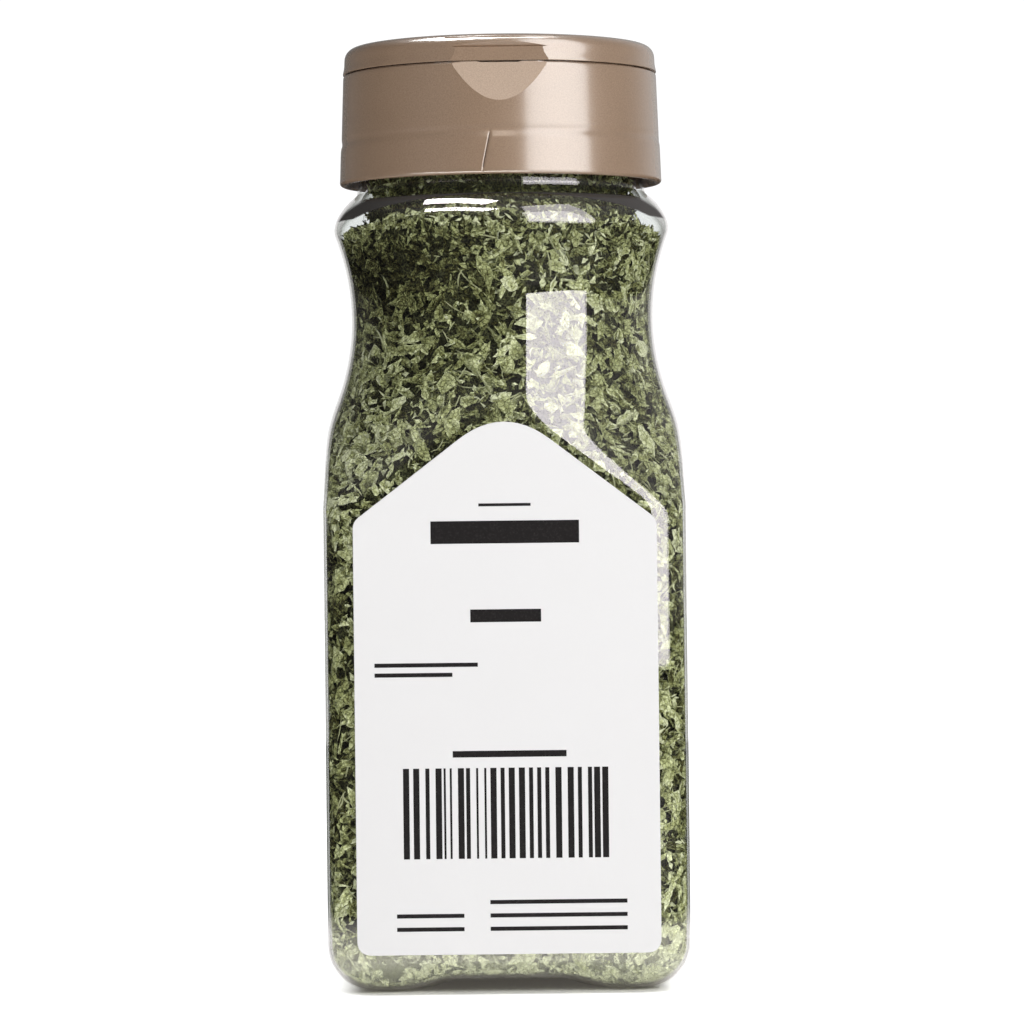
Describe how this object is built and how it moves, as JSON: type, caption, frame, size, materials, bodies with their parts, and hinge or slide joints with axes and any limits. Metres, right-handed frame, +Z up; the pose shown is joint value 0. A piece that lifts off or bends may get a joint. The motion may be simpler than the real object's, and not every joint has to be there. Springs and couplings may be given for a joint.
{
  "type": "spice jar of dried parsley",
  "caption": "Clear square spice jar filled with dried parsley flakes, with a paper label, a screw cap with a sifter deck and a hinged flip lid.",
  "frame": {"origin": "on the standing plane, at the middle of the jar's base", "axes": "+Z up along the jar's axis, front with the label and the lid's thumb flat towards -Y, lid hinge towards +Y"},
  "size_m": [0.063, 0.0637, 0.166],
  "materials": {
    "clear_plastic": "gloss",
    "dried_leaf": "matte",
    "label_paper": "satin",
    "seal_foam": "matte",
    "bronze_plastic": "satin"
  },
  "bodies": {
    "jar": {"jar": "clear_plastic", "parsley_fill": "dried_leaf", "label": "label_paper"},
    "seal": {"sealing_ring": "seal_foam"},
    "cap": {"cap": "bronze_plastic"},
    "lid": {"lid": "bronze_plastic"}
  },
  "joints": [
    {"name": "cap_rise", "type": "slide", "parent": "jar", "child": "seal", "axis": [0, 0, 1], "range_m": [0, 0.00423]},
    {"name": "cap_turn", "type": "hinge", "parent": "seal", "child": "cap", "pos_m": [0, 0, 0.15], "axis": [0, 0, 1], "range_deg": [0, 360]},
    {"name": "lid_hinge", "type": "hinge", "parent": "cap", "child": "lid", "pos_m": [0, 0.0277, 0.16105], "axis": [-1, 0, 0], "range_deg": [0, 170]}
  ],
  "couplings": [
    {"joint": "cap_turn", "follows": "cap_rise", "rad_per_m": 1484.3}
  ]
}
